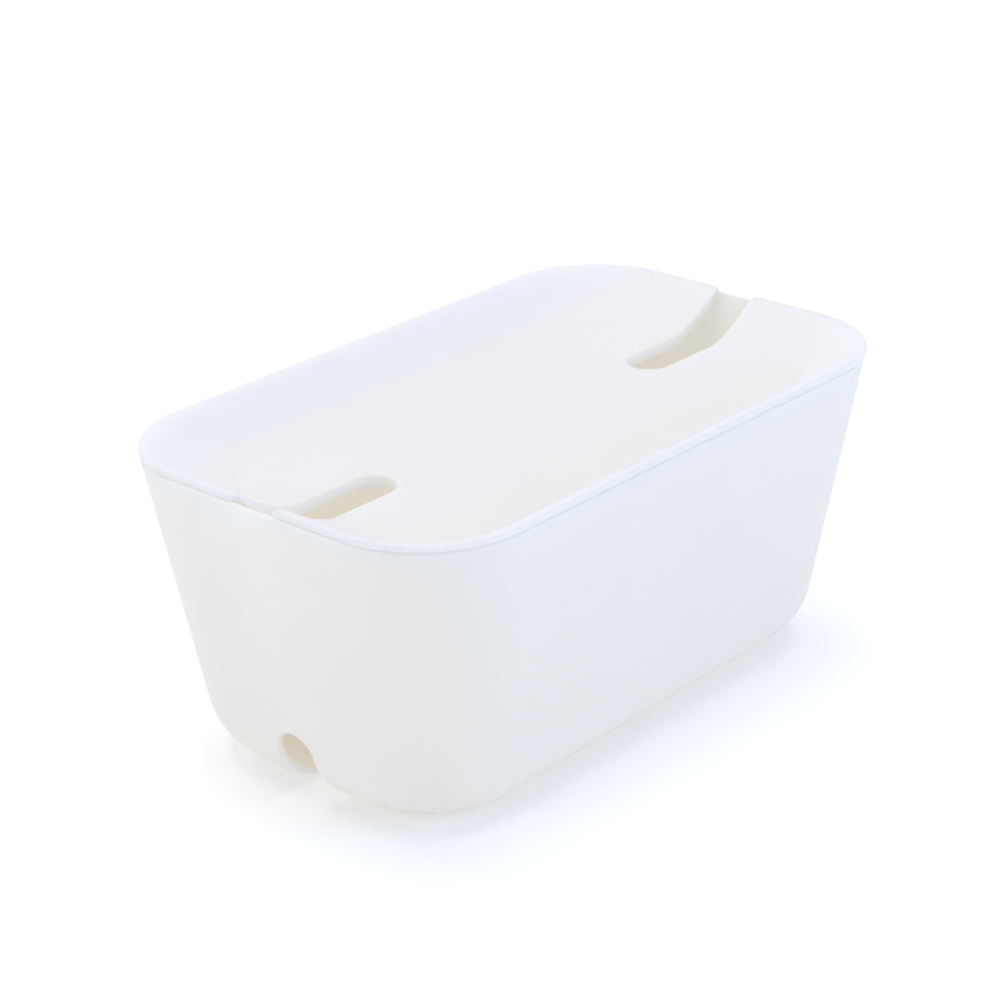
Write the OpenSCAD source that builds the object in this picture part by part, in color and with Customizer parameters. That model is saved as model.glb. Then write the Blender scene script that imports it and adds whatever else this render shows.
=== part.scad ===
// Desktop cable organiser box: a tapered tub with softly rounded corners,
// a lid shaped as a shallow tray that lies on its rim, and four rubber feet.
// Units are millimetres. X runs along the box, Y across it, Z up.
// The origin is on the ground, under the middle of the box.

/* [Overall size] */
// Length of the tub over its rim
body_l = 305; // [290:1:380]
// Width of the tub over its rim
body_w = 180; // [170:1:220]
// Height of the closed box above the ground
total_h = 135.6; // [120:0.1:180]

/* [Tub] */
// Wall and floor thickness of the tub
wall = 3; // [2:0.1:3.1]
// Corner radius of the tub, seen from above, at the rim
corner_top = 50; // [44:1:50]
// Corner radius of the tub, seen from above, at the underside
corner_low = 44.8; // [38:0.1:54]
// Lean of the end walls from the vertical, in degrees
lean_end = 9.3; // [4:0.1:11]
// Lean of the long walls from the vertical, in degrees
lean_side = 7.7; // [4:0.1:9]
// Radius of the curve from the walls into the underside
bottom_r = 24.5; // [20:0.1:28]
// Rounding of the outer edge of the rim
rim_round = 1.2; // [0.5:0.1:1.5]

/* [Cable exits] */
// Width of the arched cable exit at the foot of each end wall
exit_w = 19.5; // [12:0.5:24]
// Height of the arch's crown above the tub's underside
exit_h = 31.2; // [26:0.1:50]
// Distance from the middle of the box to the exit's end in the floor
exit_reach = 98; // [92:1:108]

/* [Lid] */
// Thickness of the lid's sheet
lid_t = 2.2; // [1.8:0.1:2.6]
// Gap between the lid's flange and the tub's rim
seat_gap = 0.35; // [0.3:0.05:0.8]
// Setback of the lid's ends from the ends of the rim
end_setback = 1.6; // [1.3:0.1:2.5]
// Overhang of the lid past the rim along each long side
side_lap = 0.2; // [0:0.1:0.4]
// Corner radius of the lid, seen from above
lid_corner = 46.2; // [46:0.1:52]
// Width of the flat flange around the tray, at the ends
flange_end = 4.6; // [4:0.1:8]
// Width of the flat flange around the tray, along the sides
flange_side = 4.9; // [4.7:0.1:8]
// Depth of the tray below the flange
tray_depth = 14; // [8:0.5:16]
// Length of the tray's slope at the ends
slope_end = 29.4; // [20:0.1:34]
// Length of the tray's slope along the sides
slope_side = 17; // [12:0.1:24]
// Rounding of the lid's outer top edge
lid_round = 1.1; // [0.5:0.1:1.2]

/* [Lid slots] */
// Width of the cable slot at each end of the lid
slot_w = 19.5; // [12:0.5:24]
// Distance from the middle of the lid to the round tip of each slot
slot_tip = 76.8; // [60:0.1:95]
// Depth of the slots' skirt, below the face of the tray
skirt_drop = 5.6; // [4:0.1:9]
// Thickness of the skirt
skirt_t = 1.8; // [1.2:0.1:2.4]
// Rounding of the flange where a slot runs out through it
mouth_r = 2.2; // [1:0.1:4]

/* [Feet] */
// Diameter of each rubber foot
foot_d = 16; // [10:0.5:24]
// Height the feet lift the tub off the ground
foot_drop = 1.2; // [0.8:0.1:3]
// Depth of the shallow pocket that each foot sits in
foot_pocket = 0.6; // [0.3:0.1:1]
// Distance of the feet from the middle, along the box
foot_x = 82; // [60:1:86]
// Distance of the feet from the middle, across the box
foot_y = 30; // [20:1:34]

/* [Hidden] */
corner_n = 11;
fine = 96;
tub_h = total_h - foot_drop - lid_t - seat_gap;
rim_z = foot_drop + tub_h;
lid_z = rim_z + seat_gap;
half_l = body_l / 2;
half_w = body_w / 2;
lid_a = half_l - end_setback;
lid_b = half_w + side_lap;
tray_z = total_h - tray_depth;
slope_n = 14;
crest = 0.1;
crest_soft = 0.16;
slope_power = 1.6;
exit_r = exit_w / 2;
exit_c = foot_drop + exit_h - exit_r;
slot_c = slot_tip + slot_w / 2;

// Points of one level outline: a rectangle a by b (half sizes) with corners r
function outline(a, b, r, z) = [
    for (q = [0:3])
        for (i = [0:corner_n])
            let (t = 90 * q + 90 * i / corner_n)
            [
                (q == 0 || q == 3 ? 1 : -1) * (a - r) + r * cos(t),
                (q < 2 ? 1 : -1) * (b - r) + r * sin(t),
                z
            ]
];

// A closed solid through a list of outlines [a, b, r, z], underside first
module loft(rings) {
    n = 4 * (corner_n + 1);
    m = len(rings);
    polyhedron(
        points = [for (g = rings) each outline(g[0], g[1], g[2], g[3])],
        faces = concat(
            [[for (i = [0:n - 1]) i]],
            [for (k = [0:m - 2]) for (i = [0:n - 1])
                [k * n + i, (k + 1) * n + i, (k + 1) * n + (i + 1) % n]],
            [for (k = [0:m - 2]) for (i = [0:n - 1])
                [k * n + i, (k + 1) * n + (i + 1) % n, k * n + (i + 1) % n]],
            [[for (i = [n - 1:-1:0]) (m - 1) * n + i]]
        ),
        convexity = 10
    );
}

// One outline of the tub, h above its underside and moved in by d
function tub_ring(h, d) = [
    half_l - (tub_h - rim_round - h) * tan(lean_end) - d,
    half_w - (tub_h - rim_round - h) * tan(lean_side) - d,
    corner_low + (corner_top - corner_low) * h / tub_h - d,
    foot_drop + h
];

// One outline on the bottom curve, t degrees round it, for a skin moved in by d
function curve_ring(t, d) = tub_ring(
    bottom_r - (bottom_r - d) * sin(t),
    d + (bottom_r - d) * (1 - cos(t))
);

module tub_outer() {
    loft(concat(
        [for (t = [90:-9:9]) curve_ring(t, 0)],
        [tub_ring(bottom_r, 0)],
        [for (t = [0:30:90])
            tub_ring(
                tub_h - rim_round * (1 - sin(t)),
                rim_round * ((1 - cos(t)) + sin(t) * tan(lean_end))
            )]
    ));
}

module tub_inner() {
    loft(concat(
        [for (t = [90:-9:9]) curve_ring(t, wall)],
        [tub_ring(bottom_r, wall)],
        [tub_ring(tub_h + 2, wall)]
    ));
}

// Arched cable exit on side s: through the foot of the end wall, its bottom
// curve and the edge of the floor
module exit_cut(s) {
    x_in = exit_reach + exit_r;
    x_out = half_l + 2;
    translate([s > 0 ? x_in : -x_out, 0, exit_c])
        rotate([0, 90, 0])
        cylinder(h = x_out - x_in, r = exit_r, $fn = fine);
    translate([s > 0 ? x_in : -x_out, -exit_r, foot_drop - 1])
        cube([x_out - x_in, exit_w, exit_c - foot_drop + 1]);
    translate([s * x_in, 0, foot_drop - 1])
        cylinder(h = wall + 4, r = exit_r, $fn = fine);
}

module foot_pocket_cut(x, y) {
    translate([x, y, foot_drop - 1])
        cylinder(h = 1 + foot_pocket, d = foot_d + 0.4, $fn = fine);
}

module tub() {
    color([0.93, 0.93, 0.93])
    difference() {
        tub_outer();
        tub_inner();
        exit_cut(-1);
        exit_cut(1);
        foot_pocket_cut(foot_x, foot_y);
        foot_pocket_cut(-foot_x, foot_y);
        foot_pocket_cut(-foot_x, -foot_y);
        foot_pocket_cut(foot_x, -foot_y);
    }
}

// The tray's slope: f runs from 0 at the flange to 1 on the flat. The result
// is 1 on the flange and 0 on the flat, with a soft crest between
function slope_raw(f) = pow(max(1 - f, 0), slope_power);
function slope_mix(f) = max(crest_soft - abs(1 - slope_raw(f)), 0);
function slope_rise(f) = min(1, slope_raw(f)) - pow(slope_mix(f), 2) / (4 * crest_soft);
function slope_rate(f) = (slope_rise(f - 0.01) - slope_rise(f + 0.01)) / 0.02;
function slope_angle(f, run) = atan(slope_rate(f) * tray_depth / run);

// One outline of the tray's skin, t under its face, measured square to it
function slope_ring(f, t) =
    let (ae = slope_angle(f, slope_end), as = slope_angle(f, slope_side))
    [
        lid_a - flange_end - f * slope_end + t * sin(ae),
        lid_b - flange_side - f * slope_side + t * sin(as),
        lid_corner - (flange_end + flange_side) / 2 - f * slope_side
            + t * (sin(ae) + sin(as)) / 2,
        tray_z + tray_depth * slope_rise(f) - t * (cos(ae) + cos(as)) / 2
    ];

// One outline of the tray's face, lowered by t without moving it sideways
function drop_ring(f, t) =
    let (g = slope_ring(f, 0))
    [g[0], g[1], g[2], g[3] - t];

function slope_at(k) = -crest + (1 + crest) * k / slope_n;

// Depth of the skirt below the tray's face: full on the flat, thinning out
// towards the flange
function skirt_at(f) = let (u = 1 - min(1, 2 * f))
    lid_t + 0.2 + (skirt_drop - lid_t - 0.2) * (1 - u * u) + 3.2 * f * (1 - f);

// The lid's outer edge, moved in by d
function edge_ring(d, z) = [lid_a - d, lid_b - d, lid_corner - d, z];

// The lid's sheet, from the middle of its underside round to its top
module lid_sheet() {
    loft(concat(
        [for (k = [slope_n:-1:0]) slope_ring(slope_at(k), lid_t)],
        [edge_ring(0.4, lid_z)],
        [edge_ring(0, lid_z + 0.4)],
        [for (t = [0:30:90])
            edge_ring(lid_round * (1 - cos(t)), total_h - lid_round * (1 - sin(t)))],
        [for (k = [0:slope_n]) slope_ring(slope_at(k), 0)]
    ));
}

// The layer that the slots' skirts fill
module skirt_space() {
    loft(concat(
        [for (k = [slope_n:-1:2]) drop_ring(slope_at(k), skirt_at(slope_at(k)))],
        [for (k = [2:slope_n]) drop_ring(slope_at(k), lid_t / 3)]
    ));
}

// Slot outline on side s, with its half width grown by g
module slot_shape(s, g) {
    h = slot_w / 2 + g;
    translate([s * slot_c, 0])
        circle(r = h, $fn = fine);
    translate([s > 0 ? slot_c : -half_l - 2, -h])
        square([half_l + 2 - slot_c, 2 * h]);
}

// Rounds the flange's corner beside a slot: side s, edge e
module mouth_round(s, e) {
    translate([s * lid_a, e * slot_w / 2])
        difference() {
            translate([s > 0 ? -mouth_r : -1, e > 0 ? -1 : -mouth_r])
                square([mouth_r + 1, mouth_r + 1]);
            translate([-s * mouth_r, e * mouth_r])
                circle(r = mouth_r, $fn = 48);
        }
}

module slot_cut(s) {
    translate([0, 0, tray_z - skirt_drop - 2])
        linear_extrude(height = tray_depth + skirt_drop + 4)
        union() {
            slot_shape(s, 0);
            mouth_round(s, -1);
            mouth_round(s, 1);
        }
}

module slot_skirt(s) {
    intersection() {
        skirt_space();
        translate([0, 0, tray_z - skirt_drop - 2])
            linear_extrude(height = tray_depth + skirt_drop + 4)
            slot_shape(s, skirt_t);
    }
}

module lid() {
    color([0.95, 0.95, 0.96])
    difference() {
        union() {
            lid_sheet();
            slot_skirt(-1);
            slot_skirt(1);
        }
        slot_cut(-1);
        slot_cut(1);
    }
}

module foot(x, y) {
    color([0.5, 0.5, 0.51])
    translate([x, y, 0])
        union() {
            cylinder(h = 0.4, d1 = foot_d - 0.8, d2 = foot_d, $fn = fine);
            translate([0, 0, 0.4])
                cylinder(h = foot_drop + foot_pocket - 0.4, d = foot_d, $fn = fine);
        }
}

module foot_1() {
    foot(foot_x, foot_y);
}

module foot_2() {
    foot(-foot_x, foot_y);
}

module foot_3() {
    foot(-foot_x, -foot_y);
}

module foot_4() {
    foot(foot_x, -foot_y);
}

tub();
lid();
foot_1();
foot_2();
foot_3();
foot_4();
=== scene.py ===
"""Desktop cable organiser box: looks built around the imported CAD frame."""
import math

import bmesh
import bpy
import numpy as np
from mathutils import Matrix, Vector
from mathutils.geometry import delaunay_2d_cdt


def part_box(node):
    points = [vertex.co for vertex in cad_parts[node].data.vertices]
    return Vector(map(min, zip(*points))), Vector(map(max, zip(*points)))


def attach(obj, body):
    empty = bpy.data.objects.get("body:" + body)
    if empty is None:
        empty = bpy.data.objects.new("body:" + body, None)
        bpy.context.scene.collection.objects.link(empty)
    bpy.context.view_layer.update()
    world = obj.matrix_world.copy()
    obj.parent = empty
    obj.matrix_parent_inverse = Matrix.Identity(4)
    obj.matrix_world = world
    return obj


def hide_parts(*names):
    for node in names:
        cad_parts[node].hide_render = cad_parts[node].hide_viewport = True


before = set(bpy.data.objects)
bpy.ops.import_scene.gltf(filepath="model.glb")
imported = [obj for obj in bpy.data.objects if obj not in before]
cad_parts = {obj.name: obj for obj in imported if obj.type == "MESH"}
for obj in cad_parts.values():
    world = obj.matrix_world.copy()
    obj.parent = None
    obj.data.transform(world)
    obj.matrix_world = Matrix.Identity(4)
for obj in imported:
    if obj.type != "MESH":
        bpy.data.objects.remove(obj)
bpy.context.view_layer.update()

MM = 0.001

# ---------------------------------------------------------------- sizes, in millimetres

tub_lo, tub_hi = (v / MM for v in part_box("tub"))
lid_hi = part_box("lid")[1] / MM

HALF_L, HALF_W = tub_hi.x, tub_hi.y
UNDER_Z, RIM_Z = tub_lo.z, tub_hi.z
TUB_H = RIM_Z - UNDER_Z
WALL = 3.0
CORNER_TOP, CORNER_LOW = 50.0, 44.8
TAN_END, TAN_SIDE = math.tan(math.radians(9.3)), math.tan(math.radians(7.7))
BOTTOM_R = 24.5
RIM_ROUND = 1.2
RIM_INNER_ROUND = 0.5
POCKET_GAP, POCKET_DEPTH = 0.2, 0.6

EXIT_R = 9.75
EXIT_TOP = 31.2
EXIT_REACH = 98.0
EXIT_EDGE = 1.6
EXIT_INNER_EDGE = 0.5

LID_A, LID_B, TOP_Z = lid_hi.x, lid_hi.y, lid_hi.z
LID_T = 2.2
LID_CORNER = 46.2
FLANGE_END, FLANGE_SIDE = 4.6, 4.9
TRAY_DEPTH = 14.0
SLOPE_END, SLOPE_SIDE = 29.4, 17.0
SLOPE_POWER, CREST_SOFT = 1.6, 0.16
SLOT_H = 9.75
SLOT_C = 76.8 + SLOT_H
SKIRT_DROP, SKIRT_T = 5.6, 1.8
MOUTH_R = 2.2
LID_EDGE = 1.2
LID_LOW_EDGE = 0.4
SEEN_ROWS = 12
SUPPORT = 0.45
TRAY_Z = TOP_Z - TRAY_DEPTH

CORNER_STEPS = 32
# material indices: the third is the lid's outer edge in a darker colour, painted shade; the fourth is
# the slots' walls in a lighter colour, painted light
PLASTIC, INSIDE, SHADED_RIM, LIT_SLOT_WALL = 0, 1, 2, 3


# ---------------------------------------------------------------- mesh building

class Shell:
    """Collects points in millimetres and faces with a material index."""

    def __init__(self):
        self.points, self.faces, self.mats = [], [], []

    def add(self, pts):
        start = len(self.points)
        self.points.extend(tuple(float(c) for c in p) for p in pts)
        return list(range(start, len(self.points)))

    def face(self, ids, mat):
        self.faces.append(tuple(ids))
        self.mats.append(mat)

    def strip(self, a, b, mat, closed=False, skip=()):
        n = len(a)
        for i in range(n if closed else n - 1):
            if i not in skip:
                j = (i + 1) % n
                self.face((a[i], a[j], b[j], b[i]), mat)

    def make(self, name, materials):
        mesh = bpy.data.meshes.new(name)
        mesh.from_pydata([Vector(p) * MM for p in self.points], [], self.faces)
        mesh.polygons.foreach_set("material_index", self.mats)
        for m in materials:
            mesh.materials.append(m)
        bm = bmesh.new()
        bm.from_mesh(mesh)
        bmesh.ops.remove_doubles(bm, verts=bm.verts, dist=4e-6)
        bmesh.ops.dissolve_degenerate(bm, edges=bm.edges, dist=1e-6)
        bmesh.ops.recalc_face_normals(bm, faces=bm.faces)
        for f in bm.faces:
            f.smooth = True
        open_edges = sum(1 for e in bm.edges if len(e.link_faces) != 2)
        print(name, "faces", len(bm.faces), "open edges", open_edges,
              "volume mm3", round(bm.calc_volume() / MM ** 3))
        bm.to_mesh(mesh)
        bm.free()
        obj = bpy.data.objects.new(name, mesh)
        bpy.context.scene.collection.objects.link(obj)
        weighted = obj.modifiers.new("face_weighted_normals", "WEIGHTED_NORMAL")
        weighted.mode = "FACE_AREA"
        weighted.weight = 90
        weighted.keep_sharp = True
        return obj


def inside_polygon(pts, poly):
    """Which points lie inside a closed polygon."""
    pts, poly = np.asarray(pts, float), np.asarray(poly, float)
    x, y = pts[:, 0:1], pts[:, 1:2]
    ax, ay = poly[:, 0], poly[:, 1]
    bx, by = np.roll(ax, -1), np.roll(ay, -1)
    dy = np.where(by == ay, 1e-12, by - ay)
    crosses = ((ay > y) != (by > y)) & (x < (bx - ax) * (y - ay) / dy + ax)
    return crosses.sum(1) % 2 == 1


def fill_flat(outer, holes, extra=()):
    """Triangles of a flat region: its outer loop, its holes and free points inside it."""
    verts, edges = [], []
    for loop in [outer, *holes]:
        start = len(verts)
        verts += [Vector(p) for p in loop]
        edges += [(start + i, start + (i + 1) % len(loop)) for i in range(len(loop))]
    verts += [Vector(p) for p in extra]
    out, _, faces, _, _, _ = delaunay_2d_cdt(verts, edges, [], 0, 1e-5)
    out = np.array([tuple(v) for v in out])
    mids = np.array([out[list(f)].mean(0) for f in faces])
    keep = inside_polygon(mids, outer)
    for hole in holes:
        keep &= ~inside_polygon(mids, hole)
    return out, [f for f, k in zip(faces, keep) if k]


def grow(loop, by):
    """A closed counter-clockwise loop of (u, v) moved outward by a distance."""
    p = np.asarray(loop, float)
    d = np.roll(p, -1, 0) - np.roll(p, 1, 0)
    d /= np.linalg.norm(d, axis=1)[:, None]
    return p + by * np.stack([d[:, 1], -d[:, 0]], 1)


def arc(cx, cy, r, a0, a1, n):
    """Points on an arc, both ends included, angles in degrees."""
    t = np.radians(np.linspace(a0, a1, n + 1))
    return np.stack([cx + r * np.cos(t), cy + r * np.sin(t)], 1)


# ---------------------------------------------------------------- tub

def tub_ring(h, d):
    """Half length, half width, corner radius and height of one outline of the tub."""
    low = TUB_H - RIM_ROUND - h
    return (HALF_L - low * TAN_END - d, HALF_W - low * TAN_SIDE - d,
            CORNER_LOW + (CORNER_TOP - CORNER_LOW) * h / TUB_H - d, UNDER_Z + h)


def curve_ring(t, d):
    t = math.radians(t)
    return tub_ring(BOTTOM_R - (BOTTOM_R - d) * math.sin(t), d + (BOTTOM_R - d) * (1 - math.cos(t)))


PATCH_HALF = 20.0
PATCH_Y = np.arange(-20, 20.01, 2.5)
PATCH_X = 88.0
PATCH_TOP = 50.0
CURVE_T = list(range(90, 0, -5))
WALL_H = [BOTTOM_R, 28, 32, 36, 40, 45, PATCH_TOP]
HIGH_H = [70, 92, 114]


def ring_outline(a, b, r):
    """A closed outline with fixed columns across both ends, counter-clockwise."""
    e = b - r
    end = np.concatenate([[-e], PATCH_Y, [e]])
    side = np.linspace(a - r, -(a - r), 9)[1:-1]
    return np.concatenate([
        np.stack([np.full(len(end), a), end], 1),
        arc(a - r, e, r, 0, 90, CORNER_STEPS)[1:],
        np.stack([side, np.full(len(side), b)], 1),
        arc(-(a - r), e, r, 90, 180, CORNER_STEPS)[:-1],
        np.stack([np.full(len(end), -a), end[::-1]], 1),
        arc(-(a - r), -e, r, 180, 270, CORNER_STEPS)[1:],
        np.stack([side[::-1], np.full(len(side), -b)], 1),
        arc(a - r, -e, r, 270, 360, CORNER_STEPS)[:-1],
    ])


N_END = len(PATCH_Y) + 2
SECOND_END = N_END + CORNER_STEPS + 7 + CORNER_STEPS
PATCH_COLUMNS = set(range(1, N_END - 2)) | set(range(SECOND_END + 1, SECOND_END + N_END - 2))


class EndProfile:
    """The tub's outer skin along its length at an end: floor, bottom curve, wall."""

    def __init__(self):
        rows = []
        floor_end = curve_ring(90, 0)[0]
        for x in np.linspace(PATCH_X - 6, floor_end, 40)[:-1]:
            rows.append((x, UNDER_Z, TAN_END, 1.0))
        for t in range(90, -1, -1):
            a, _, _, z = curve_ring(t, 0)
            r = math.radians(t)
            rows.append((a, z, -math.cos(r) + math.sin(r) * TAN_END, math.sin(r)))
        for h in np.linspace(BOTTOM_R, PATCH_TOP + 6, 60)[1:]:
            a, _, _, z = tub_ring(h, 0)
            rows.append((a, z, -1.0, 0.0))
        t = np.array(rows)
        step = np.hypot(np.diff(t[:, 0]), np.diff(t[:, 1]))
        self.s = np.concatenate([[0], np.cumsum(step)])
        self.x, self.z, self.dx, self.dz = t.T

    def of_x(self, x):
        return np.interp(x, self.x, self.s)

    def of_z(self, z):
        up = self.z > UNDER_Z + 1e-9
        return np.interp(z, self.z[up], self.s[up])

    def place(self, uv, depth, side):
        """Points of (y, s) at a depth below the skin, at one end of the tub."""
        y, s = np.asarray(uv, float).T
        x = np.interp(s, self.s, self.x) + depth * np.interp(s, self.s, self.dx)
        z = np.interp(s, self.s, self.z) + depth * np.interp(s, self.s, self.dz)
        return np.stack([x * side, y, z], 1)


profile = EndProfile()


def exit_contour():
    """The cable exit's edge on the end's skin, counter-clockwise in (y, s)."""
    zc = UNDER_Z + EXIT_TOP - EXIT_R
    xc = EXIT_REACH + EXIT_R
    low, high = float(profile.of_x(xc)), float(profile.of_z(zc))
    rise = np.linspace(low, high, 22)[1:-1]
    foot = np.radians(np.linspace(180, 360, 25))
    crown = np.radians(np.linspace(0, 180, 33))
    return np.concatenate([
        np.stack([EXIT_R * np.cos(foot), profile.of_x(xc + EXIT_R * np.sin(foot))], 1),
        np.stack([np.full(len(rise), EXIT_R), rise], 1),
        np.stack([EXIT_R * np.cos(crown), profile.of_z(zc + EXIT_R * np.sin(crown))], 1),
        np.stack([np.full(len(rise), -EXIT_R), rise[::-1]], 1),
    ])


PATCH_S = ([float(profile.of_x(x)) for x in (PATCH_X, 91, 94, 97, 100, 103)]
           + [float(profile.of_x(curve_ring(t, 0)[0])) for t in CURVE_T]
           + [float(profile.of_z(UNDER_Z + h)) for h in WALL_H])


def exit_patch(shell, side):
    """Both skins round one cable exit, and the exit's rounded edge through the wall."""
    edge = exit_contour()
    s0, s1 = PATCH_S[0], PATCH_S[-1]
    frame_loop = ([(y, s0) for y in PATCH_Y] + [(PATCH_HALF, s) for s in PATCH_S[1:-1]]
                  + [(y, s1) for y in PATCH_Y[::-1]]
                  + [(-PATCH_HALF, s) for s in PATCH_S[-2:0:-1]])
    grid = [(y, s) for s in PATCH_S[1:-1] for y in PATCH_Y[1:-1]]
    for depth, reach, mat in ((0.0, EXIT_EDGE, PLASTIC), (WALL, EXIT_INNER_EDGE, INSIDE)):
        hole = grow(edge, reach + SUPPORT)
        keep_off = inside_polygon(grid, grow(edge, reach + SUPPORT + 0.7))
        extra = [g for g, k in zip(grid, keep_off) if not k]
        uv, faces = fill_flat(frame_loop, [hole], extra)
        ids = shell.add(profile.place(uv, depth, side))
        for f in faces:
            shell.face([ids[i] for i in f], mat)
        shell.strip(shell.add(profile.place(hole, depth, side)),
                    shell.add(profile.place(grow(edge, reach), depth, side)), mat, closed=True)
    turns = np.radians(np.arange(0, 91, 15))
    loops = [(EXIT_EDGE * (1 - math.sin(t)), EXIT_EDGE * (1 - math.cos(t))) for t in turns]
    loops += [(EXIT_INNER_EDGE * (1 - math.cos(t)), WALL - EXIT_INNER_EDGE * (1 - math.sin(t)))
              for t in turns]
    rows = [shell.add(profile.place(grow(edge, o), d, side)) for o, d in loops]
    for a, b in zip(rows, rows[1:]):
        shell.strip(a, b, PLASTIC, closed=True)


def floor_loop(a, b, r, shift):
    """The flat floor's outline, going round the two exit patches."""
    ring = ring_outline(a, b, r)
    xs = [float(np.interp(s, profile.s, profile.x)) + shift for s in PATCH_S[:7]]
    xs = [x for x in xs if x < a - 0.01]
    y = PATCH_HALF
    out = [(a, ring[0][1]), (a, -y)]
    out += [(x, -y) for x in xs[::-1]] + [(xs[0], v) for v in PATCH_Y[1:-1]] + [(x, y) for x in xs]
    out += [(a, y)] + [tuple(p) for p in ring[N_END - 1:SECOND_END + 1]] + [(-a, y)]
    out += [(-x, y) for x in xs[::-1]] + [(-xs[0], v) for v in PATCH_Y[-2:0:-1]]
    out += [(-x, -y) for x in xs] + [(-a, -y)]
    out += [tuple(p) for p in ring[SECOND_END + N_END - 1:]]
    return out


def foot_places():
    """Each foot's node, centre, radius, lowest and highest point."""
    out = []
    for n in ("foot_1", "foot_2", "foot_3", "foot_4"):
        lo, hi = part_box(n)
        out.append((n, (lo + hi) / 2 / MM, (hi.x - lo.x) / 2 / MM, lo.z / MM, hi.z / MM))
    return out


def build_tub(materials):
    shell = Shell()
    turns = [0, 15, 30, 45, 60, 75, 90]
    outer = [curve_ring(t, 0) for t in CURVE_T] + [tub_ring(h, 0) for h in WALL_H + HIGH_H]
    for t in turns:
        r = math.radians(t)
        outer.append(tub_ring(TUB_H - RIM_ROUND * (1 - math.sin(r)),
                              RIM_ROUND * (1 - math.cos(r) + math.sin(r) * TAN_END)))
    inner = [curve_ring(t, WALL) for t in CURVE_T] + [tub_ring(h, WALL) for h in WALL_H + HIGH_H]
    for t in turns:
        r = math.radians(t)
        inner.append(tub_ring(TUB_H - RIM_INNER_ROUND * (1 - math.sin(r)),
                              WALL - RIM_INNER_ROUND * (1 - math.cos(r))))
    patch_rings = len(CURVE_T) + len(WALL_H) - 1
    tops = []
    for rings, mat in ((outer, PLASTIC), (inner, INSIDE)):
        rows = [shell.add([(x, y, g[3]) for x, y in ring_outline(*g[:3])]) for g in rings]
        for k, (a, b) in enumerate(zip(rows, rows[1:])):
            rim = k >= len(rows) - len(turns)
            shell.strip(a, b, PLASTIC if rim else mat, closed=True,
                        skip=PATCH_COLUMNS if k < patch_rings else ())
        tops.append(rows[-1])
    shell.strip(tops[0], tops[1], PLASTIC, closed=True)
    for side in (-1, 1):
        exit_patch(shell, side)
    pockets = [(p, r + POCKET_GAP) for _, p, r, _, _ in foot_places()]
    floors = ((UNDER_Z, outer[0], 0.0, PLASTIC),
              (UNDER_Z + WALL, inner[0], WALL * TAN_END, INSIDE))
    for z, g, shift, mat in floors:
        holes = [arc(p.x, p.y, r, 0, 360, 48)[:-1] for p, r in pockets] if z == UNDER_Z else []
        xy, faces = fill_flat(floor_loop(*g[:3], shift), holes)
        ids = shell.add([(x, y, z) for x, y in xy])
        for f in faces:
            shell.face([ids[i] for i in f], mat)
        for h in holes:
            rim = shell.add([(x, y, z) for x, y in h])
            roof = shell.add([(x, y, z + POCKET_DEPTH) for x, y in h])
            shell.strip(rim, roof, PLASTIC, closed=True)
            shell.face(roof, PLASTIC)
    return shell.make("tub_shell", materials)


# ---------------------------------------------------------------- lid

def slope_raw(f):
    return max(1 - f, 0.0) ** SLOPE_POWER


def slope_rise(f):
    raw = slope_raw(f)
    mix = max(CREST_SOFT - abs(1 - raw), 0)
    return min(1, raw) - mix * mix / (4 * CREST_SOFT)


def sheet_drop(f):
    """Depth of the sheet's underside below its face, straight down."""
    rate = (slope_rise(f - 0.01) - slope_rise(f + 0.01)) / 0.02 * TRAY_DEPTH
    return 2 * LID_T / (math.cos(math.atan(rate / SLOPE_END)) + math.cos(math.atan(rate / SLOPE_SIDE)))


def skirt_depth(f):
    u = 1 - min(1, 2 * max(f, 0))
    deep = LID_T + 0.2 + (SKIRT_DROP - LID_T - 0.2) * (1 - u * u) + 3.2 * max(f, 0) * (1 - f)
    return max(deep, sheet_drop(f)) if f > 0.04 else sheet_drop(f)


def lid_rings(off):
    """The rings of the lid's skin from its edge to the tray's flat: size and slope place."""
    rings = []
    for t in (0, 22.5, 45, 67.5):
        i = MOUTH_R - (MOUTH_R - off) * math.cos(math.radians(t))
        rings.append((LID_A - i, LID_B - i, LID_CORNER - i, -0.3))
    first = (MOUTH_R - FLANGE_END) / SLOPE_END
    places = ([first] + list(np.arange(-0.07, 0.2, 0.015)) + list(np.arange(0.2, 0.90, 0.04))
              + [0.90, 0.925, 0.945, 0.96, 0.975, 0.985, 0.993, 1.0, 1.0 + SUPPORT / SLOPE_SIDE])
    for f in places:
        rings.append((LID_A - FLANGE_END - f * SLOPE_END, LID_B - FLANGE_SIDE - f * SLOPE_SIDE,
                      LID_CORNER - (FLANGE_END + FLANGE_SIDE) / 2 - f * SLOPE_SIDE, min(f, 1.0)))
    return rings


def lid_row(a, b, r, off, y0):
    """One ring's half at y above 0, from the slot at +X round to the slot at -X."""
    e = b - r
    end = np.concatenate([[y0], np.linspace(y0 + SUPPORT, e, 9)])
    side = np.linspace(a - r, -(a - r), 11)[1:-1]
    return np.concatenate([
        np.stack([np.full(len(end), a), end], 1),
        arc(a - r, e, r, 0, 90, CORNER_STEPS)[1:],
        np.stack([side, np.full(len(side), b)], 1),
        arc(-(a - r), e, r, 90, 180, CORNER_STEPS)[:-1],
        np.stack([np.full(len(end), -a), end[::-1]], 1),
    ])


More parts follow.
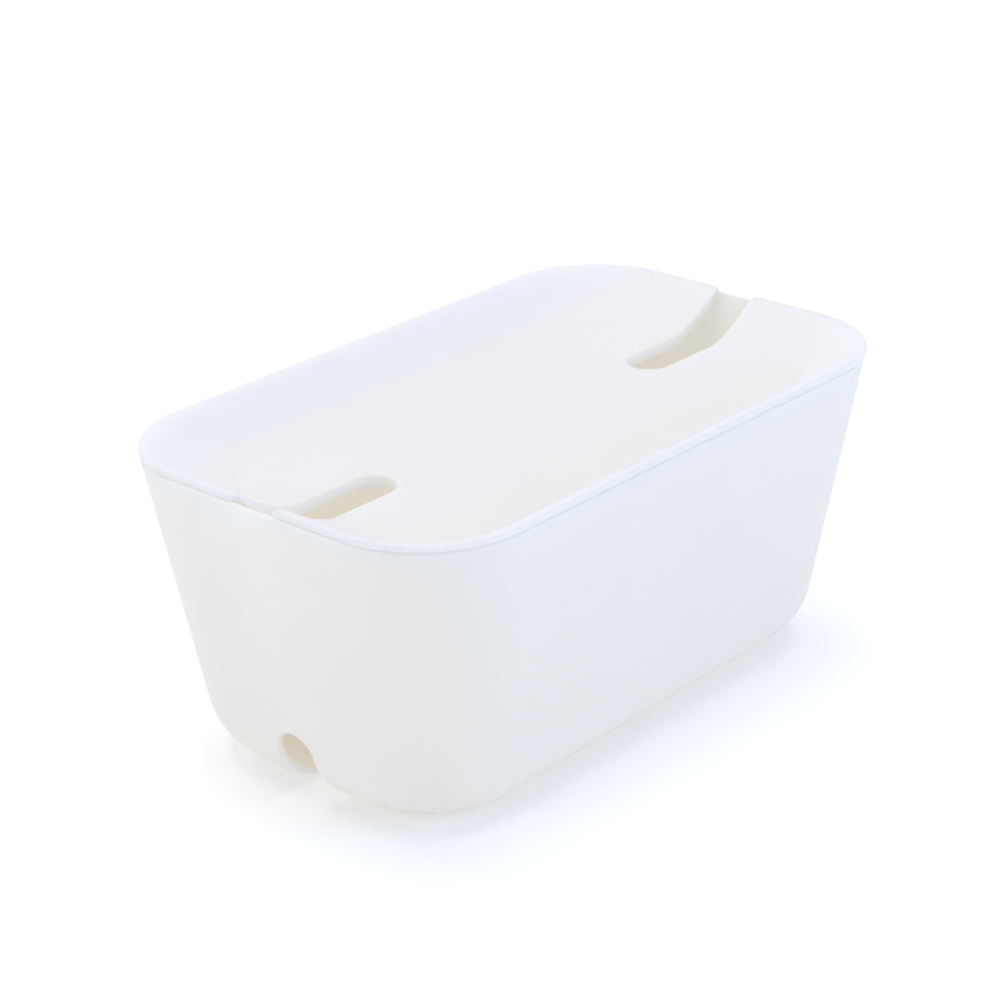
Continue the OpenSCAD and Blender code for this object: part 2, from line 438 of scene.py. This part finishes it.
def lid_skin(shell, off, drop, mat):
    """One skin of the lid, kept off its outline by a distance. Returns its edge loop."""
    rings = lid_rings(off)
    z_of = lambda f: TRAY_Z + TRAY_DEPTH * slope_rise(f) - drop(f)
    halves = {}
    for way in (1, -1):
        rows = []
        for k, (a, b, r, f) in enumerate(rings):
            y0 = SLOT_H + off
            if k < 4:
                y0 = SLOT_H + MOUTH_R - (MOUTH_R - off) * math.sin(math.radians(22.5 * k))
            xy = lid_row(a, b, r, off, y0)
            rows.append(shell.add([(x * way, y * way, z_of(f)) for x, y in xy]))
        for p, q in zip(rows, rows[1:]):
            shell.strip(p, q, mat)
        halves[way] = rows
    z = z_of(1.0)
    last_x = rings[-1][0]
    runs, inner_runs = {}, {}
    for side in (1, -1):
        straight = np.linspace(last_x, SLOT_C, 6)
        for store, o in ((runs, off), (inner_runs, off + SUPPORT)):
            h = SLOT_H + o
            tip = arc(SLOT_C, 0, h, 270, 90, 36)
            xy = np.concatenate([
                np.stack([straight[:-1], np.full(5, -h)], 1), tip,
                np.stack([straight[-2::-1], np.full(5, h)], 1)])
            store[side] = shell.add([(x * side, y * side, z) for x, y in xy])
        shell.strip(runs[side], inner_runs[side], mat)
    up, down = halves[1][-1], halves[-1][-1]
    middle = up[1:-1] + inner_runs[-1][1:-1] + down[1:-1] + inner_runs[1][1:-1]
    flat = [shell.points[i][:2] for i in middle]
    xy, faces = fill_flat(flat, [])
    ids = shell.add([(x, y, z) for x, y in xy])
    for f in faces:
        shell.face([ids[i] for i in f], mat)
    # the closed edge loop: half at +Y, slot at -X, half at -Y, slot at +X
    loop, places = [], []
    for way, slot_side in ((1, -1), (-1, 1)):
        rows = halves[way]
        loop += rows[0]
        places += [-0.3] * len(rows[0])
        loop += [r[-1] for r in rows[1:]]
        places += [g[3] for g in rings[1:]]
        loop += runs[slot_side][1:-1]
        places += [1.0] * (len(runs[slot_side]) - 2)
        other = halves[-way]
        loop += [r[0] for r in other[:0:-1]]
        places += [g[3] for g in rings[:0:-1]]
    return loop, places


def build_lid(materials):
    shell = Shell()
    top, places = lid_skin(shell, LID_EDGE, lambda f: 0.0, PLASTIC)
    low, _ = lid_skin(shell, SKIRT_T, sheet_drop, INSIDE)
    p_top = np.array([shell.points[i] for i in top])
    p_low = np.array([shell.points[i] for i in low])
    # outward direction in plan, from the two skins' edges and the loop's own tangent
    d = np.roll(p_top[:, :2], -1, 0) - np.roll(p_top[:, :2], 1, 0)
    out = np.stack([d[:, 1], -d[:, 0]], 1) / np.linalg.norm(d, axis=1)[:, None]
    lead = p_top[:, :2] - p_low[:, :2]
    far = np.linalg.norm(lead, axis=1) > 0.3
    lead /= np.maximum(np.linalg.norm(lead, axis=1), 1e-9)[:, None]
    out[far] = lead[far]
    edge = p_top[:, :2] + out * LID_EDGE
    rows = [top]
    for t in np.radians(np.arange(15, 91, 15)):
        xy = p_top[:, :2] + out * LID_EDGE * math.sin(t)
        rows.append(shell.add(np.column_stack([xy, p_top[:, 2] - LID_EDGE * (1 - math.cos(t))])))
    face_z = p_top[:, 2]
    foot = face_z - np.array([skirt_depth(f) for f in places])
    q = LID_LOW_EDGE
    for t in np.radians(np.arange(0, 91, 22.5)):
        xy = edge - out * q * (1 - math.cos(t))
        rows.append(shell.add(np.column_stack([xy, foot + q * (1 - math.sin(t))])))
    rise = np.minimum(q, np.maximum(p_low[:, 2] - foot, 0))
    for t in np.radians(np.arange(0, 91, 22.5)):
        xy = edge - out * (SKIRT_T - rise * (1 - math.sin(t)))[:, None]
        rows.append(shell.add(np.column_stack([xy, foot + rise * (1 - math.cos(t))])))
    rows.append(low)
    # the outer edge gets a darker colour, painted shade, and the slots' walls a lighter one, painted
    # light
    n = len(places)
    rim = {i for i in range(n) if places[i] < 0 and places[(i + 1) % n] < 0}
    for k, (a, b) in enumerate(zip(rows, rows[1:])):
        seen = k < SEEN_ROWS
        shell.strip(a, b, SHADED_RIM if seen else INSIDE, closed=True, skip=set(range(n)) - rim)
        shell.strip(a, b, LIT_SLOT_WALL if seen else INSIDE, closed=True, skip=rim)
    return shell.make("lid_shell", materials)


# ---------------------------------------------------------------- feet

def build_foot(name, centre, radius, z0, z1, material):
    """A turned rubber pad with a rounded lower edge and a shallow grip groove."""
    shell = Shell()
    line = [(0.0, 0.12), (2.2, 0.12), (2.6, 0.0), (4.6, 0.0), (4.9, 0.22), (5.5, 0.22), (5.8, 0.0)]
    turns = np.radians(np.arange(0, 91, 15))
    line += [(radius - 0.5 + 0.5 * math.sin(t), 0.5 - 0.5 * math.cos(t)) for t in turns]
    line += [(radius, z1 - z0 - 0.15), (radius - 0.15, z1 - z0), (0.0, z1 - z0)]
    rows = []
    for r, h in line[1:-1]:
        xy = arc(centre.x, centre.y, r, 0, 360, 64)[:-1]
        rows.append(shell.add([(x, y, z0 + h) for x, y in xy]))
    for a, b in zip(rows, rows[1:]):
        shell.strip(a, b, 0, closed=True)
    shell.face(rows[0], 0)
    shell.face(rows[-1], 0)
    return shell.make(name, [material])


# ---------------------------------------------------------------- materials

def node_material(name):
    m = bpy.data.materials.new(name)
    m.use_nodes = True
    nt = m.node_tree
    bsdf = nt.nodes["Principled BSDF"]
    return m, nt, bsdf


def noise(nt, coord, scale, detail=3.0, rough=0.55):
    n = nt.nodes.new("ShaderNodeTexNoise")
    n.inputs["Scale"].default_value = scale
    n.inputs["Detail"].default_value = detail
    n.inputs["Roughness"].default_value = rough
    nt.links.new(coord, n.inputs["Vector"])
    return n.outputs["Fac"]


def spread(nt, value, low, high):
    r = nt.nodes.new("ShaderNodeMapRange")
    r.inputs["From Min"].default_value = 0.3
    r.inputs["From Max"].default_value = 0.7
    r.inputs["To Min"].default_value = low
    r.inputs["To Max"].default_value = high
    nt.links.new(value, r.inputs["Value"])
    return r.outputs["Result"]


# noise scales of the plastic, and the share of light that goes through it
CLOUD, MID_GRAIN, FINE_GRAIN = 14.0, 420.0, 2600.0
THROUGH = 0.5


def plastic(name, colour, deep, glow_colour, rough, grain, painted_light_fade=None):
    """Fine-grained matt moulded plastic that lets some light through its walls.

    The last argument, if given, is a lighter colour and the two heights in metres between which it
    fades in: painted light near the top, leaving the surface darker below as painted shade.
    """
    m, nt, bsdf = node_material(name)
    coord = nt.nodes.new("ShaderNodeTexCoord").outputs["Object"]
    cloud = noise(nt, coord, CLOUD, 2.0)
    fine = noise(nt, coord, FINE_GRAIN, 2.0, 0.6)
    mid = noise(nt, coord, MID_GRAIN, 3.0)
    mix = nt.nodes.new("ShaderNodeMix")
    mix.data_type = "RGBA"
    mix.inputs[6].default_value = (*colour, 1)
    mix.inputs[7].default_value = (*deep, 1)
    nt.links.new(spread(nt, cloud, 0.0, 1.0), mix.inputs[0])
    tint = mix.outputs[2]
    if painted_light_fade:
        height = nt.nodes.new("ShaderNodeSeparateXYZ")
        nt.links.new(coord, height.inputs[0])
        ramp = nt.nodes.new("ShaderNodeMapRange")
        ramp.inputs["From Min"].default_value = painted_light_fade[1]
        ramp.inputs["From Max"].default_value = painted_light_fade[2]
        nt.links.new(height.outputs["Z"], ramp.inputs["Value"])
        fade = nt.nodes.new("ShaderNodeMix")
        fade.data_type = "RGBA"
        fade.inputs[7].default_value = (*painted_light_fade[0], 1)
        nt.links.new(tint, fade.inputs[6])
        nt.links.new(ramp.outputs["Result"], fade.inputs[0])
        tint = fade.outputs[2]
    nt.links.new(tint, bsdf.inputs["Base Color"])
    nt.links.new(spread(nt, mid, rough - 0.05, rough + 0.05), bsdf.inputs["Roughness"])
    bump = nt.nodes.new("ShaderNodeBump")
    bump.inputs["Strength"].default_value = 0.35
    bump.inputs["Distance"].default_value = grain
    nt.links.new(fine, bump.inputs["Height"])
    nt.links.new(bump.outputs["Normal"], bsdf.inputs["Normal"])
    bsdf.inputs["IOR"].default_value = 1.46
    bsdf.inputs["Specular IOR Level"].default_value = 0.35
    glow = nt.nodes.new("ShaderNodeBsdfTranslucent")
    glow.inputs["Color"].default_value = (*glow_colour, 1)
    nt.links.new(bump.outputs["Normal"], glow.inputs["Normal"])
    both = nt.nodes.new("ShaderNodeMixShader")
    both.inputs[0].default_value = THROUGH
    nt.links.new(bsdf.outputs[0], both.inputs[1])
    nt.links.new(glow.outputs[0], both.inputs[2])
    nt.links.new(both.outputs[0], nt.nodes["Material Output"].inputs["Surface"])
    return m


def rubber(name):
    m, nt, bsdf = node_material(name)
    coord = nt.nodes.new("ShaderNodeTexCoord").outputs["Object"]
    speck = noise(nt, coord, 900.0, 4.0)
    ramp = nt.nodes.new("ShaderNodeMix")
    ramp.data_type = "RGBA"
    ramp.inputs[6].default_value = (0.50, 0.50, 0.51, 1)
    ramp.inputs[7].default_value = (0.58, 0.575, 0.57, 1)
    nt.links.new(spread(nt, speck, 0, 1), ramp.inputs[0])
    nt.links.new(ramp.outputs[2], bsdf.inputs["Base Color"])
    nt.links.new(spread(nt, speck, 0.7, 0.9), bsdf.inputs["Roughness"])
    bump = nt.nodes.new("ShaderNodeBump")
    bump.inputs["Strength"].default_value = 0.4
    bump.inputs["Distance"].default_value = 0.00008
    nt.links.new(speck, bump.inputs["Height"])
    nt.links.new(bump.outputs["Normal"], bsdf.inputs["Normal"])
    return m


# ---------------------------------------------------------------- pieces on the frame

# name, light and deep colour, colour of the light that goes through, roughness, grain depth
tub_white = plastic("tub_white", (0.906, 0.915, 0.928), (0.891, 0.90, 0.913),
                    (0.96, 0.955, 0.935), 0.52, 0.00003)
# the tub's inside: the same white plastic in a warm beige with a warm glow colour, painted warm
# bounced light, fading to a lighter colour near the rim so that it is darker towards the bottom as
# painted shade
tub_inside_painted_light = plastic("tub_inside_painted_light", (0.93, 0.885, 0.79), (0.92, 0.875, 0.78),
                     (0.96, 0.92, 0.84), 0.6, 0.00004, ((0.92, 0.915, 0.90), 0.085, 0.134))
lid_white = plastic("lid_white", (0.912, 0.919, 0.95), (0.897, 0.904, 0.935),
                    (0.965, 0.968, 0.978), 0.5, 0.00003)
lid_under = plastic("lid_under", (0.92, 0.93, 0.945), (0.91, 0.92, 0.935),
                    (0.965, 0.97, 0.98), 0.6, 0.00004)
# the lid's outer rounded edge and skirt: the same plastic made darker as painted shade
lid_edge_painted_shade = plastic("lid_edge_painted_shade", (0.865, 0.87, 0.885), (0.855, 0.86, 0.875),
                   (0.91, 0.91, 0.905), 0.55, 0.00003)
# the slots' cut walls: the same plastic made lighter as painted light, standing in for light shining
# through the lid
lid_slot_painted_light = plastic("lid_slot_painted_light", (0.965, 0.96, 0.95), (0.955, 0.95, 0.94),
                   (0.99, 0.985, 0.97), 0.55, 0.00003)
foot_grey = rubber("foot_grey")

tub = build_tub([tub_white, tub_inside_painted_light])
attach(tub, "base")
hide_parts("tub")

lid = build_lid([lid_white, lid_under, lid_edge_painted_shade, lid_slot_painted_light])
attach(lid, "cover")
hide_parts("lid")

for node_name, centre, radius, z0, z1 in foot_places():
    pad = build_foot(node_name + "_pad", centre, radius, z0, z1, foot_grey)
    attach(pad, "base")
    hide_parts(node_name)


# ---------------------------------------------------------------- floor, light, camera

FLOOR_GLOW = 0.115


def floor_material():
    m, nt, bsdf = node_material("studio_floor")
    coord = nt.nodes.new("ShaderNodeTexCoord").outputs["Object"]
    cloud = noise(nt, coord, 3.0, 2.0)
    mix = nt.nodes.new("ShaderNodeMix")
    mix.data_type = "RGBA"
    mix.inputs[6].default_value = (0.925, 0.926, 0.932, 1)
    mix.inputs[7].default_value = (0.935, 0.936, 0.942, 1)
    nt.links.new(spread(nt, cloud, 0, 1), mix.inputs[0])
    nt.links.new(mix.outputs[2], bsdf.inputs["Base Color"])
    bsdf.inputs["Roughness"].default_value = 0.9
    bsdf.inputs["Emission Color"].default_value = (1.0, 1.0, 0.99, 1)
    bsdf.inputs["Emission Strength"].default_value = FLOOR_GLOW
    bsdf.inputs["Specular IOR Level"].default_value = 0.1
    return m


def build_floor():
    """A wide floor, set just under the feet so that the two never share a plane."""
    bm = bmesh.new()
    n, half, z = 24, 12.0, -0.00005
    at = [-half + i * 2 * half / n for i in range(n + 1)]
    pts = [[bm.verts.new((x, y, z)) for x in at] for y in at]
    for j in range(n):
        for i in range(n):
            bm.faces.new((pts[j][i], pts[j][i + 1], pts[j + 1][i + 1], pts[j + 1][i]))
    mesh = bpy.data.meshes.new("studio_floor")
    bm.to_mesh(mesh)
    bm.free()
    mesh.materials.append(floor_material())
    obj = bpy.data.objects.new("studio_floor", mesh)
    bpy.context.scene.collection.objects.link(obj)


def area_light(name, place, target, size, power, colour):
    data = bpy.data.lights.new(name, "AREA")
    data.shape = "SQUARE"
    data.size = size
    data.energy = power
    data.color = colour
    obj = bpy.data.objects.new(name, data)
    obj.location = place
    obj.rotation_euler = (Vector(target) - Vector(place)).to_track_quat("-Z", "Y").to_euler()
    bpy.context.scene.collection.objects.link(obj)


SKY = (1.0, 1.0, 1.0)
AIM = (0, 0, 0.07)
SKY_STRENGTH = 0.575

build_floor()
world = bpy.data.worlds.new("studio_sky")
bpy.context.scene.world = world
world.use_nodes = True
world.node_tree.nodes["Background"].inputs["Color"].default_value = (*SKY, 1)
world.node_tree.nodes["Background"].inputs["Strength"].default_value = SKY_STRENGTH

area_light("key_above", (0.1, 0.1, 2.4), AIM, 2.0, 28.2, (1.0, 0.992, 0.99))
area_light("end_fill", (-2.2, 0.7, 0.7), AIM, 1.5, 14.6, (0.63, 0.78, 1.0))
area_light("side_fill", (1.0, -2.2, 0.5), AIM, 1.5, 31.0, (0.40, 0.61, 1.0))
area_light("back_fill", (0.2, 2.2, 1.2), AIM, 1.5, 11.0, (1.0, 0.96, 0.93))


def build_camera():
    """The camera that the photograph's view was taken with."""
    azimuth, elevation, roll = math.radians(40.8495), math.radians(23.4724), math.radians(-0.6704)
    distance, look_z, focal = 1.12329, 0.09303, 2.72216
    shift_x, shift_y = -0.01881, -0.01669
    back = Vector((-math.cos(azimuth) * math.cos(elevation), -math.sin(azimuth) * math.cos(elevation),
                   math.sin(elevation)))
    right = (-back).cross(Vector((0, 0, 1))).normalized()
    up = right.cross(-back)
    r2 = right * math.cos(roll) + up * math.sin(roll)
    u2 = -right * math.sin(roll) + up * math.cos(roll)
    data = bpy.data.cameras.new("camera")
    data.sensor_width = 36.0
    data.sensor_fit = "HORIZONTAL"
    data.lens = focal * 36.0
    data.shift_x, data.shift_y = shift_x, shift_y
    data.clip_start, data.clip_end = 0.01, 100.0
    obj = bpy.data.objects.new("camera", data)
    m = Matrix((r2, u2, back)).transposed().to_4x4()
    m.translation = Vector((0, 0, look_z)) + back * distance
    obj.matrix_world = m
    bpy.context.scene.collection.objects.link(obj)
    bpy.context.scene.camera = obj


build_camera()
# light has to bounce often enough inside the plastic walls to reach the inside
cycles = bpy.context.scene.cycles
cycles.max_bounces, cycles.diffuse_bounces, cycles.transmission_bounces = 24, 12, 16
bpy.context.scene.view_settings.view_transform = "Standard"
